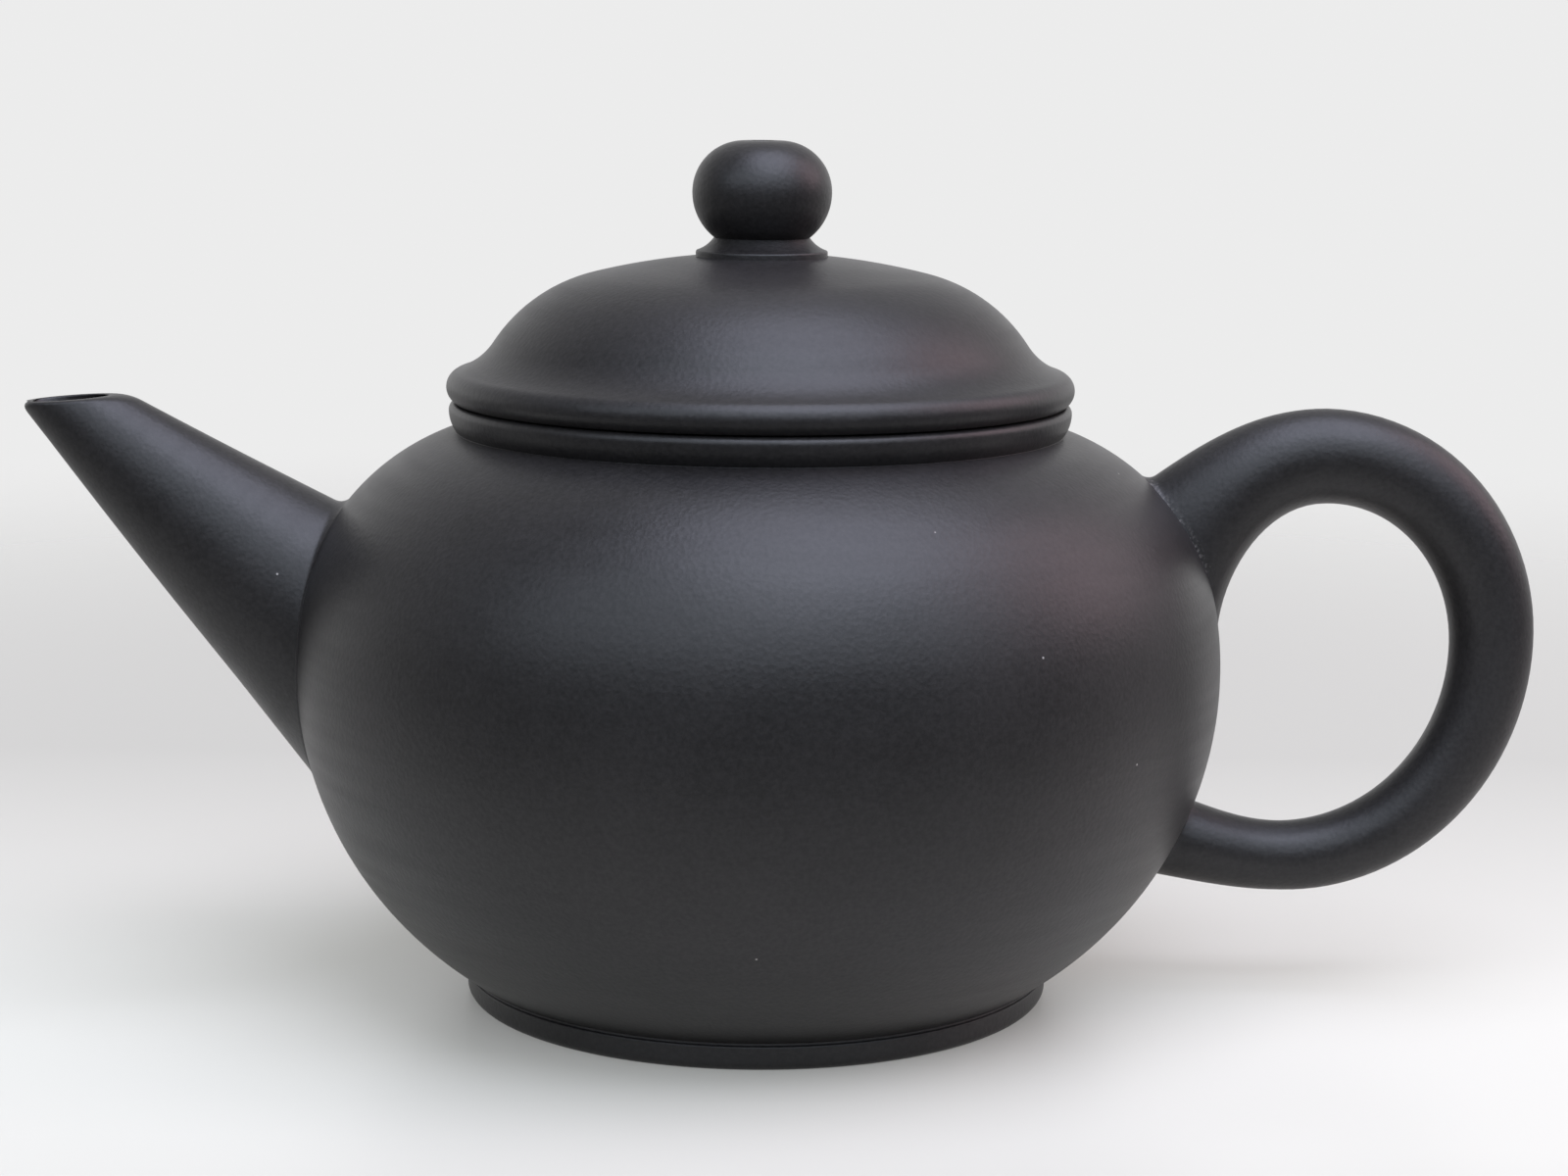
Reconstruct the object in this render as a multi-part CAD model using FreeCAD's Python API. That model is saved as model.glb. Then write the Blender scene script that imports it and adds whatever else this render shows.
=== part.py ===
import FreeCAD, Part

import math
import os

# A hand-built round clay teapot. Spout mouth, lid seat and handle top lie on one level line.
# Millimetres. Z is the turning axis, the foot stands on Z = 0, the spout points to -X, the handle to +X.

# Body
belly_radius = 38.0
belly_height = 27.6
wall = 2.8
slip_gap = 0.03          # slip left between curved faces that are stuck together

# Foot and base
foot_height = 2.1
foot_step = 0.4          # the foot ring stands this far outside the base edge
foot_width = 3.9
foot_round = 0.8
base_inset = 14.2        # the base edge lies this far inside the widest level
base_thickness = 2.5

# Shoulder and neck
shoulder_start = 9.5     # degrees above the widest level where the belly arc passes into the shoulder arc
top_joint = 40.0         # degrees on the shoulder arc where the wall meets the top disc
disc_edge = 2.7          # thickness of the top disc at the mouth
neck_inset = 13.15       # the crease under the neck ring lies this far inside the widest level
neck_height = 47.0
neck_bulge = 0.57
neck_round = 0.6         # rounding from the ring's widest line up to the seat
neck_ring_width = 3.55   # from that crease to the mouth
neck_ring_height = 2.4
mouth_chamfer = 0.3

# Lid
lid_clearance = 0.3      # radial play of the lid's flange in the mouth
flange_wall = 2.4
flange_depth = 6.5
flange_round = 0.8
rim_height = 2.4
rim_out = 0.2            # the rim's lower edge stands this far outside the crease
rim_bulge = 0.76
cove_radius = 5.56
cove_end = 16.7          # slope of the cove where it meets the rim, degrees
crown_angle = 14.1       # degrees from the axis where the crown passes into the lid's shoulder
lid_shoulder_radius = 13.25
lid_shoulder_end = 56.7  # slope where the lid's shoulder turns into the cove, degrees
lid_thickness = 2.9
lid_hollow_round = 4.5

# Knob
collar_radius = 5.37
collar_edge = 0.45
collar_height = 1.55
collar_sag = 0.12        # depth of the hollow flare under the knob's neck
knob_neck_radius = 4.0
knob_radius = 5.67
knob_widest = 3.65       # widest level above the neck
knob_low_round = 4.65
knob_top_round = 4.15
vent_radius = 1.0
vent_flare = 2.0         # the vent widens to this radius inside the lid

# Spout
spout_reach = 19.25      # from the belly's widest level to the axis at the mouth
spout_drop = 0.35        # middle of the mouth below the level line
spout_mouth_fall = 4.3   # fall of the mouth towards its tip, degrees
spout_entry = 32.6       # height where the spout's axis enters the belly
spout_tip_radius = 3.0
spout_root_radius = 8.75
spout_flare = 0.3        # extra radius gained inside the seam
spout_oval = 0.9         # width over height of the spout's section
spout_tip_wall = 0.75
spout_root_wall = 2.2
spout_lip_share = 0.4    # rounding of the lip's two edges, as a share of the wall there
spout_past_tip = 4.0     # the loft runs on past the mouth before it is cut off
spout_past_root = 13.0   # and past the seam into the belly

# Strainer
strainer_margin = 0.395  # between the strainer and the narrow way of the spout's bore
strainer_wall = 1.4
strainer_set = 4.5       # depth of the dome's centre behind the belly's surface, along the spout
strainer_inset = 0.5     # open edge below the belly's surface
strainer_hole = 0.8
strainer_rings = ((0.0, 1), (36.0, 6), (70.0, 10))   # angle from the axis in degrees, number of holes

# Handle: places of the centre line and thickness there
handle_top_out = 8.5     # from the belly's widest level to the highest point of the centre line
handle_back_out = 22.7   # to its outermost point
handle_low_out = 5.8     # to its lowest point
handle_top_drop = 4.2    # centre line below the level line at the top
handle_back_height = 29.7
handle_low_height = 11.5
handle_top_thick = 7.8
handle_back_thick = 6.85
handle_low_thick = 5.8
handle_oval = 0.98       # width over thickness of the handle's section
upper_root_drop = 4.0    # top of the upper root below the crease under the neck ring
upper_root_height = 11.4  # from there down to its tail
upper_root_width = 9.2
upper_neck_out = 1.5     # neck of the upper root, from the belly's widest level
upper_neck_drop = 6.6    # and below the level line
upper_neck_thick = 8.9
upper_neck_tilt = 14.0   # lean of the section there, degrees
lower_root_bottom = 10.1
lower_root_height = 6.2
lower_root_width = 6.8
root_depth = 3.6         # how far the handle's ends run into the belly before they are cut to it
root_dip = 25.0          # the upper end runs in and down at this angle
lower_root_dip = -22.0   # the lower end runs in and up
back_stations = 5        # sections on each quarter of the handle's loop

AXIS = FreeCAD.Vector(0, 0, 1)
ORIGIN = FreeCAD.Vector(0, 0, 0)
SIDE = FreeCAD.Vector(0, 1, 0)


def at(x, z):
    """A point of the XZ plane."""
    return FreeCAD.Vector(x, 0, z)


def line(start, end):
    return Part.LineSegment(start, end).toShape()


def arc(start, middle, end):
    return Part.Arc(start, middle, end).toShape()


def on_circle(centre, radius, degrees):
    angle = math.radians(degrees)
    return at(centre.x + radius * math.cos(angle), centre.z + radius * math.sin(angle))


def circle_arc(centre, radius, start, end):
    """Arc between two angles, in degrees from +X towards +Z."""
    ends = [on_circle(centre, radius, degrees) for degrees in (start, (start + end) / 2, end)]
    return arc(*ends)


def polyline(points):
    return [line(start, end) for start, end in zip(points, points[1:])]


def turned(edges):
    """Solid of revolution of a closed profile about the pot's axis."""
    return Part.Face(Part.Wire(edges)).revolve(ORIGIN, AXIS, 360)


# The level line, where the lid rests, and the radii that follow the belly's
seat_height = neck_height + neck_ring_height
neck_radius = belly_radius - neck_inset
mouth_radius = neck_radius - neck_ring_width
base_radius = belly_radius - base_inset

# Body curve: one arc from the base edge past the widest level, then a tangent arc to the neck
belly_run = belly_radius - base_radius
belly_rise = belly_height - foot_height
belly_arc_radius = (belly_run ** 2 + belly_rise ** 2) / (2 * belly_run)
belly_centre = at(belly_radius - belly_arc_radius, belly_height)
shoulder_point = on_circle(belly_centre, belly_arc_radius, shoulder_start)
shoulder_normal = on_circle(ORIGIN, 1, shoulder_start)
neck_point = at(neck_radius, neck_height)
neck_span = neck_point - shoulder_point
shoulder_radius = -neck_span.dot(neck_span) / (2 * neck_span.dot(shoulder_normal))
shoulder_centre = shoulder_point - shoulder_normal * shoulder_radius
neck_rise = (neck_point - shoulder_centre) / shoulder_radius
joint_point = on_circle(shoulder_centre, shoulder_radius, top_joint)
base_top = foot_height + base_thickness


def body_radius(height, inset=0.0):
    """Radius of the body at a height, on a surface that lies inset inside the outer one."""
    split = on_circle(belly_centre, belly_arc_radius - inset, shoulder_start)
    if height > split.z:
        centre, radius = shoulder_centre, shoulder_radius - inset
    else:
        centre, radius = belly_centre, belly_arc_radius - inset
    return centre.x + math.sqrt(radius ** 2 - (height - centre.z) ** 2)


def on_body(height, inset=0.0):
    """Point of the body curve at a height, on the handle's side."""
    return at(body_radius(height, inset), height)


def body_arcs(low, high, inset=0.0):
    """The body curve from one height up to another."""
    split = on_circle(belly_centre, belly_arc_radius - inset, shoulder_start)
    heights = [low, split.z, high] if low < split.z < high else [low, high]
    arcs = []
    for start, end in zip(heights, heights[1:]):
        stops = [on_body(height, inset) for height in (start, (start + end) / 2, end)]
        arcs.append(arc(*stops))
    return arcs


def filled_body(inset):
    """The body as one full solid, used to cut what is stuck onto it."""
    low = foot_height
    high = (neck_point - neck_rise * inset).z
    sides = [line(at(0, low), on_body(low, inset))] + body_arcs(low, high, inset)
    return turned(sides + polyline([on_body(high, inset), at(0, high), at(0, low)]))


# Spout axis: origin at the belly's surface, running out to the mouth
spout_mouth_height = seat_height - spout_drop
spout_root = at(-body_radius(spout_entry), spout_entry)
spout_tip = at(-(belly_radius + spout_reach), spout_mouth_height)
spout_length = (spout_tip - spout_root).Length
spout_way = (spout_tip - spout_root) / spout_length
spout_across = FreeCAD.Vector(-spout_way.z, 0, spout_way.x)
strainer_radius = (spout_root_radius - spout_root_wall) * spout_oval - strainer_margin


def oval(centre, across, half_across, half_side):
    """Ellipse wire about a centre, one half axis along across and one along Y, begun on the across side."""
    long_end = centre + across * half_across
    short_end = centre + SIDE * half_side
    start = 0.0
    if half_side > half_across:
        long_end, short_end = short_end, centre - across * half_across
        start = -math.pi / 2
    ellipse = Part.Ellipse(long_end, short_end, centre)
    return Part.Wire(ellipse.toShape(start, start + 2 * math.pi))


def spout_section(along, radius):
    return oval(spout_root + spout_way * along, spout_across, radius, radius * spout_oval)


def spout_cone(tip_radius, root_radius, flare):
    """Tapering loft along the spout's axis, from inside the belly to past the mouth."""
    taper = (root_radius - tip_radius) / spout_length
    stops = (-spout_past_root, 0.0, spout_length / 2, spout_length, spout_length + spout_past_tip)
    gains = (flare, 0.0, 0.0, 0.0, 0.0)
    sections = [spout_section(stop, root_radius - taper * stop + gain) for stop, gain in zip(stops, gains)]
    return Part.makeLoft(sections, True, False)


def over_mouth():
    """Block that takes away all that stands over the spout's mouth."""
    size = 2 * spout_length
    block = Part.makeBox(size, size, size, spout_tip - FreeCAD.Vector(size / 2, size / 2, 0))
    block.rotate(spout_tip, SIDE, -spout_mouth_fall)
    return block


def make_spout():
    outer = spout_cone(spout_tip_radius, spout_root_radius, spout_flare)
    bore = spout_cone(spout_tip_radius - spout_tip_wall, spout_root_radius - spout_root_wall, 0.0)
    tube = outer.cut(bore).cut(over_mouth()).cut(filled_body(-slip_gap)).Solids[0]
    mouth = max(tube.Faces, key=lambda face: face.CenterOfMass.z)
    return tube.makeFillet(spout_lip_share * spout_tip_wall, mouth.Edges)


def make_strainer():
    """Pierced dome set in the belly wall behind the spout."""
    radius = strainer_radius - slip_gap
    centre = spout_root - spout_way * strainer_set
    shells = []
    for size in (radius, radius - strainer_wall):
        ball = Part.makeSphere(size, centre)
        shells.append(ball.fuse(Part.makeCylinder(size, 3 * strainer_set, centre, spout_way)))
    dome = shells[0].cut(shells[1]).common(filled_body(strainer_inset))
    holes = []
    for tilt, count in strainer_rings:
        for step in range(count):
            way = FreeCAD.Rotation(SIDE, tilt).multVec(-spout_way)
            way = FreeCAD.Rotation(spout_way, 360.0 * step / count).multVec(way)
            holes.append(Part.makeCylinder(strainer_hole, 2 * radius, centre, way))
    return dome.cut(Part.Compound(holes)).Solids[0]


def make_belly_wall():
    low, high = base_top, joint_point.z
    outer = body_arcs(low, high)
    inner = body_arcs(low, high, wall)
    low_edge = line(on_body(low, wall), on_body(low))
    high_edge = line(on_body(high), on_body(high, wall))
    shell = turned([low_edge] + outer + [high_edge] + inner[::-1])
    start = spout_root + spout_way * strainer_radius
    hole = Part.makeCylinder(strainer_radius, 3 * strainer_radius, start, -spout_way)
    return shell.cut(hole)


def make_base_disc():
    edge = body_arcs(foot_height, base_top)
    rest = polyline([on_body(base_top), at(0, base_top), at(0, foot_height), at(base_radius, foot_height)])
    return turned(edge + rest)


def make_foot_ring():
    outer = base_radius + foot_step
    inner = outer - foot_width
    turn = at(outer - foot_round, foot_round)
    rounded = circle_arc(turn, foot_round, -90, 0)
    start = at(outer - foot_round, 0)
    rest = polyline([at(outer, foot_round), at(outer, foot_height), at(inner, foot_height),
                     at(inner + foot_round, 0), start])
    return turned([rounded] + rest)


def make_top_disc():
    low = joint_point.z
    rest = polyline([neck_point, at(mouth_radius, neck_height), at(mouth_radius, neck_height - disc_edge),
                     on_body(low, wall), on_body(low)])
    return turned(body_arcs(low, neck_height) + rest)


def make_neck_ring():
    """Ring that swells from the crease to its widest line and rounds in to the seat."""
    widest = at(neck_radius + neck_bulge, seat_height - neck_round)
    rise = widest.z - neck_height
    swell = (neck_bulge ** 2 + rise ** 2) / (2 * neck_bulge)
    low = -math.degrees(math.asin(rise / swell))
    edges = [
        circle_arc(at(widest.x - swell, widest.z), swell, low, 0),
        circle_arc(at(widest.x - neck_round, widest.z), neck_round, 0, 90),
    ]
    edges += polyline([at(widest.x - neck_round, seat_height), at(mouth_radius + mouth_chamfer, seat_height),
                       at(mouth_radius, seat_height - mouth_chamfer), at(mouth_radius, neck_height), neck_point])
    return turned(edges)


# Lid curve, from the rim's upper edge inwards
flange_radius = mouth_radius - lid_clearance
hollow_radius = flange_radius - flange_wall
rim_top = seat_height + rim_height
rim_edge = at(neck_radius, rim_top)
cove_centre = rim_edge + on_circle(ORIGIN, cove_radius, 90 - cove_end)
cove_top = on_circle(cove_centre, cove_radius, 270 - lid_shoulder_end)
lid_shoulder_centre = on_circle(cove_top, lid_shoulder_radius, 270 - lid_shoulder_end)
crown_side = on_circle(lid_shoulder_centre, lid_shoulder_radius, 90 - crown_angle)
crown_radius = crown_side.x / math.sin(math.radians(crown_angle))
crown_centre = at(0, crown_side.z - math.sqrt(crown_radius ** 2 - crown_side.x ** 2))
collar_seat = crown_centre.z + math.sqrt(crown_radius ** 2 - collar_radius ** 2)


def make_lid_dome():
    inner_radius = crown_radius - lid_thickness
    reach = inner_radius - lid_hollow_round
    turn_run = hollow_radius - lid_hollow_round
    turn = at(turn_run, crown_centre.z + math.sqrt(reach ** 2 - turn_run ** 2))
    turn_end = math.degrees(math.atan2(turn.z - crown_centre.z, turn.x))
    crown_start = math.degrees(math.atan2(crown_side.z - crown_centre.z, crown_side.x))
    crown_stop = math.degrees(math.atan2(collar_seat - crown_centre.z, collar_radius))
    hollow_stop = math.degrees(math.acos(vent_flare / inner_radius))
    hollow_top = on_circle(crown_centre, inner_radius, hollow_stop)
    edges = [
        circle_arc(cove_centre, cove_radius, 270 - cove_end, 270 - lid_shoulder_end),
        circle_arc(lid_shoulder_centre, lid_shoulder_radius, 90 - lid_shoulder_end, 90 - crown_angle),
        circle_arc(crown_centre, crown_radius, crown_start, crown_stop),
    ]
    edges += polyline([at(collar_radius, collar_seat), at(vent_radius, collar_seat), hollow_top])
    edges += [
        circle_arc(crown_centre, inner_radius, hollow_stop, turn_end),
        circle_arc(turn, lid_hollow_round, turn_end, 0),
    ]
    edges += polyline([at(hollow_radius, turn.z), at(hollow_radius, rim_top), rim_edge])
    return turned(edges)


def make_lid_rim():
    low = at(neck_radius + rim_out, seat_height)
    middle = at(neck_radius + rim_bulge, seat_height + rim_height / 2)
    rest = polyline([rim_edge, at(hollow_radius, rim_top), at(hollow_radius, seat_height), low])
    return turned([arc(low, middle, rim_edge)] + rest)


def make_lid_flange():
    low = seat_height - flange_depth
    outer_turn = at(flange_radius - flange_round, low + flange_round)
    inner_turn = at(hollow_radius + flange_round, low + flange_round)
    edges = [
        circle_arc(outer_turn, flange_round, 0, -90),
        line(at(outer_turn.x, low), at(inner_turn.x, low)),
        circle_arc(inner_turn, flange_round, 270, 180),
    ]
    edges += polyline([at(hollow_radius, inner_turn.z), at(hollow_radius, seat_height),
                       at(flange_radius, seat_height), at(flange_radius, outer_turn.z)])
    return turned(edges)


knob_low = collar_seat + collar_height


def make_knob_collar():
    """Low round seat that flares in to the knob's neck."""
    edge = at(collar_radius, collar_seat + collar_edge)
    neck = at(knob_neck_radius, knob_low)
    run = neck - edge
    hollow = (edge + neck) / 2 + at(-run.z, run.x) * (collar_sag / run.Length)
    edges = polyline([neck, at(vent_radius, knob_low), at(vent_radius, collar_seat),
                      at(collar_radius, collar_seat), edge])
    return turned(edges + [arc(edge, hollow, neck)])


def make_knob():
    middle = knob_low + knob_widest
    low_centre = at(knob_radius - knob_low_round, middle)
    low_start = math.degrees(math.asin(knob_widest / knob_low_round))
    top_centre = at(knob_radius - knob_top_round, middle)
    top = middle + knob_top_round
    low_edge = on_circle(low_centre, knob_low_round, -low_start)
    edges = [
        circle_arc(low_centre, knob_low_round, -low_start, 0),
        circle_arc(top_centre, knob_top_round, 0, 90),
    ]
    edges += polyline([at(top_centre.x, top), at(vent_radius, top), at(vent_radius, knob_low), low_edge])
    return turned(edges)


def handle_section(outer, inner, width):
    """Oval section whose one axis runs from the handle's outer line to its inner line."""
    half = (outer - inner) / 2
    return oval(inner + half, half / half.Length, half.Length, width / 2)


def shifted(points, dip):
    """Both ends of a root section, moved into the belly."""
    angle = math.radians(dip)
    move = at(-math.cos(angle), -math.sin(angle)) * root_depth
    return [point + move for point in points]


def loop_sections(centre, half_x, half_z, start, end, thick_start, thick_end, skip_first):
    """Sections on a quarter of an ellipse, square to it, tapering from one thickness to another."""
    sections = []
    for step in range(1 if skip_first else 0, back_stations + 1):
        share = step / back_stations
        angle = math.radians(start + (end - start) * share)
        middle = at(centre.x + half_x * math.cos(angle), centre.z + half_z * math.sin(angle))
        normal = at(half_z * math.cos(angle), half_x * math.sin(angle)).normalize()
        half = (thick_start + (thick_end - thick_start) * share) / 2
        width = 2 * half * handle_oval
        sections.append(handle_section(middle + normal * half, middle - normal * half, width))
    return sections


def make_handle():
    top_x = belly_radius + handle_top_out
    back_x = belly_radius + handle_back_out
    low_x = belly_radius + handle_low_out
    top_z = seat_height - handle_top_drop
    upper_top = neck_height - upper_root_drop
    upper = [on_body(upper_top), on_body(upper_top - upper_root_height)]
    lower = [on_body(lower_root_bottom), on_body(lower_root_bottom + lower_root_height)]
    neck = at(belly_radius + upper_neck_out, seat_height - upper_neck_drop)
    neck_half = on_circle(ORIGIN, upper_neck_thick / 2, 90 + upper_neck_tilt)
    sections = [
        handle_section(*shifted(upper, root_dip), upper_root_width),
        handle_section(*upper, upper_root_width),
        handle_section(neck + neck_half, neck - neck_half, upper_neck_thick * handle_oval),
    ]
    rise = top_z - handle_back_height
    fall = handle_back_height - handle_low_height
    sections += loop_sections(at(top_x, handle_back_height), back_x - top_x, rise,
                              90, 0, handle_top_thick, handle_back_thick, False)
    sections += loop_sections(at(low_x, handle_back_height), back_x - low_x, fall,
                              0, -90, handle_back_thick, handle_low_thick, True)
    sections += [
        handle_section(*lower, lower_root_width),
        handle_section(*shifted(lower, lower_root_dip), lower_root_width),
    ]
    bow = Part.makeLoft(sections, True, False)
    return max(bow.cut(filled_body(-slip_gap)).Solids, key=lambda solid: solid.Volume)


pieces = {
    "belly_wall": make_belly_wall(),
    "base_disc": make_base_disc(),
    "foot_ring": make_foot_ring(),
    "top_disc": make_top_disc(),
    "neck_ring": make_neck_ring(),
    "spout": make_spout(),
    "spout_strainer": make_strainer(),
    "handle": make_handle(),
    "lid_dome": make_lid_dome(),
    "lid_rim": make_lid_rim(),
    "lid_flange": make_lid_flange(),
    "knob_collar": make_knob_collar(),
    "knob": make_knob(),
}

os.makedirs("parts", exist_ok=True)
for name, piece in pieces.items():
    piece.exportStep("parts/" + name + ".step")
    print(name, len(piece.Solids), piece.isValid(), round(piece.Volume, 1), piece.BoundBox)
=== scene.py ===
import math

import bmesh
import bpy
from bpy.props import FloatProperty, FloatVectorProperty, IntProperty, PointerProperty
from mathutils import Euler, Matrix, Vector


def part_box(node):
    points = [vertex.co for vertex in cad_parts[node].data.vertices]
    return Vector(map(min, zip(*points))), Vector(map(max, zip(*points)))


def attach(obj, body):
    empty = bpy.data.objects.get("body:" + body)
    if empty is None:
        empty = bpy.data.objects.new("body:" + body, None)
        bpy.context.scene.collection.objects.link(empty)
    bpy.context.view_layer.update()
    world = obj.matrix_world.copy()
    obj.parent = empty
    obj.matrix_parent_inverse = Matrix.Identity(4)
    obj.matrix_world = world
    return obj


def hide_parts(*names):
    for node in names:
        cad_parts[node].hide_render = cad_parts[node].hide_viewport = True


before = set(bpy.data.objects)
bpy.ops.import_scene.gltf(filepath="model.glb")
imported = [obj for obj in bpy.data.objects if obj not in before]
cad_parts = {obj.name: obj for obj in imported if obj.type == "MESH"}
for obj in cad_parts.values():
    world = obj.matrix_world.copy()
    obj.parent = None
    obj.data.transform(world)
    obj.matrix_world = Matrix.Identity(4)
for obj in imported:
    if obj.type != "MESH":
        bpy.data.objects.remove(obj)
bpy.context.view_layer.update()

bl_info = {
    "name": "Clay teapot",
    "version": (1, 0, 0),
    "blender": (4, 5, 0),
    "location": "3D View > Sidebar > Teapot",
    "description": "Models the skins, clay finish and stage of a round clay teapot",
    "category": "Object",
}

MM = 0.001
MERGE_DISTANCE = 0.002 * MM
FLAT = 0.01 * MM         # what lies this near to a plane lies in it
FACING_DOWN = -0.2       # a normal with less Z than this faces down
FOOT_STEP = 0.4 * MM     # the foot ring stands this far outside the base edge
CORNER_REACH = 1.5       # a rounded corner takes up this many radii of both its outlines
HALVINGS = 40            # steps of a search for a place on a line
NOISE_SPAN = (0.3, 0.7)  # where most of a noise's values lie
CROWN_STEP = math.radians(1.0)  # between the points of the lid's crown

# Rows of points along the stretches of spout and handle
FILLET_ROWS = 6
SIDE_ROWS = 14
LIP_ROWS = 8
BORE_EDGE_ROWS = 4
BORE_ROWS = 10


def low(name):
    """Lowest corner of a node of the frame."""
    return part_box(name)[0]


def high(name):
    """Highest corner of a node of the frame."""
    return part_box(name)[1]


def length(label, description, default):
    """A size in metres that a user may change."""
    return FloatProperty(name=label, description=description, default=default, unit="LENGTH", precision=5)


def angle(label, description, degrees):
    """An angle, given in degrees."""
    return FloatProperty(name=label, description=description, default=math.radians(degrees), subtype="ANGLE")


def share(label, description, default):
    """A ratio, a strength or a tone."""
    return FloatProperty(name=label, description=description, default=default, min=0.0, max=10.0)


def span(label, description, default, unit="NONE"):
    """The two ends of a change."""
    return FloatVectorProperty(name=label, description=description, default=default, size=2, unit=unit,
                               precision=3)


def colour(label, description, default):
    """A linear colour."""
    return FloatVectorProperty(name=label, description=description, default=default, subtype="COLOR", size=3,
                               min=0.0, max=1.0)


# Sizes and colours


class PotSizes(bpy.types.PropertyGroup):
    """The turned pot: foot, belly, shoulder, neck and the hollow inside."""
    belly_radius: length("Belly radius", "Radius at the widest level", high("belly_wall").y)
    belly_height: length("Belly height", "Height of the widest level", 27.6 * MM)
    wall: length("Wall", "Thickness of the clay wall", 2.8 * MM)
    shoulder_start: angle("Shoulder start", "Angle where the belly arc passes into the shoulder arc", 9.5)
    base_radius: length("Base radius", "Where the belly meets the foot", high("foot_ring").y - FOOT_STEP)
    base_dome: length("Base dome", "Rise of the underside at its centre", 0.3 * MM)
    base_middle: share("Base middle", "Share of that rise halfway out to the foot", 0.7)
    base_top: length("Base top", "Height of the floor inside", high("base_disc").z)
    base_fillet: length("Base fillet", "Rounding between floor and wall inside", 0.75 * MM)
    base_clear: length("Base clear", "Height over the floor where the wall's curve begins", 1.0 * MM)
    foot_radius: length("Foot radius", "Outer radius of the foot ring", high("foot_ring").y)
    foot_width: length("Foot width", "Width of the foot ring at its top", 3.9 * MM)
    foot_height: length("Foot height", "Height of the foot ring", high("foot_ring").z)
    foot_round: length("Foot rounding", "Rounding of the standing edge", 0.8 * MM)
    foot_shoulder: length("Foot shoulder", "Rounding of the foot's upper edge", 0.25 * MM)
    foot_crease: length("Foot crease", "Rounding of the crease over the foot", 0.15 * MM)
    neck_radius: length("Neck radius", "Radius of the crease under the neck ring", 24.85 * MM)
    neck_height: length("Neck height", "Height of that crease", low("neck_ring").z)
    neck_bulge: length("Neck bulge", "How far the neck ring swells out over the crease", 0.57 * MM)
    neck_round: length("Neck rounding", "Rounding from the ring's widest line up to the seat", 0.6 * MM)
    crease_round: length("Crease rounding", "Rounding of the crease under the neck ring", 0.03 * MM)
    seat_height: length("Seat height", "Height of the lid's seat", high("neck_ring").z)
    seat_play: length("Seat play", "Half of the fine gap that shows under the lid", 0.07 * MM)
    mouth_radius: length("Mouth radius", "Radius of the mouth", 21.3 * MM)
    mouth_round: length("Mouth rounding", "Rounding of the mouth's edge", 0.4 * MM)
    disc_edge: length("Top disc edge", "Thickness of the top disc at the mouth", 2.7 * MM)
    disc_under: length("Top disc joint", "Height where the top disc meets the wall", low("top_disc").z)
    steps: IntProperty(name="Spin steps", description="Steps of the spin", default=240, min=48)


class SpoutSizes(bpy.types.PropertyGroup):
    """The tapering spout and its bore."""
    entry_height: length("Entry height", "Height where the axis enters the belly", 32.6 * MM)
    reach: length("Reach", "From the belly's widest level to the axis at the mouth", 19.25 * MM)
    mouth_drop: length("Mouth drop", "Middle of the mouth below the lid's seat", 0.35 * MM)
    mouth_fall: angle("Mouth fall", "Fall of the mouth towards its tip", 4.3)
    tip_radius: length("Tip radius", "Half height of the section at the mouth", 3.0 * MM)
    root_radius: length("Root radius", "Half height of the section at the belly", 8.66 * MM)
    sag: length("Sag", "How far the axis sags between root and tip", 0.12 * MM)
    oval: share("Oval", "Width over height of the section", 0.9)
    tip_wall: length("Tip wall", "Wall at the mouth", 0.8 * MM)
    root_wall: length("Root wall", "Wall at the belly", 2.2 * MM)
    lip_round: length("Lip rounding", "Width of the outer edge's rounding at the mouth's sides", 0.4 * MM)
    tip_round: length("Tip rounding", "Width of that rounding at the mouth's tip and back", 1.25 * MM)
    bore_round: length("Bore rounding", "Width of the bore edge's rounding", 0.2 * MM)
    past_root: length("Past root", "How far the spout runs into the belly before it is cut", 13.0 * MM)
    fillet: length("Fillet", "Rounding of the clay smoothed into the joint at the spout's sides", 0.25 * MM)
    top_fillet: length("Top fillet", "That rounding on top of the spout", 0.9 * MM)
    sink: length("Sink", "How far spout and handle reach into the belly's skin", 0.5 * MM)
    hole_radius: length("Hole radius", "Hole in the belly wall that holds the strainer", 5.5 * MM)
    sides: IntProperty(name="Sides", description="Points round a section", default=96, min=16)


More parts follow.
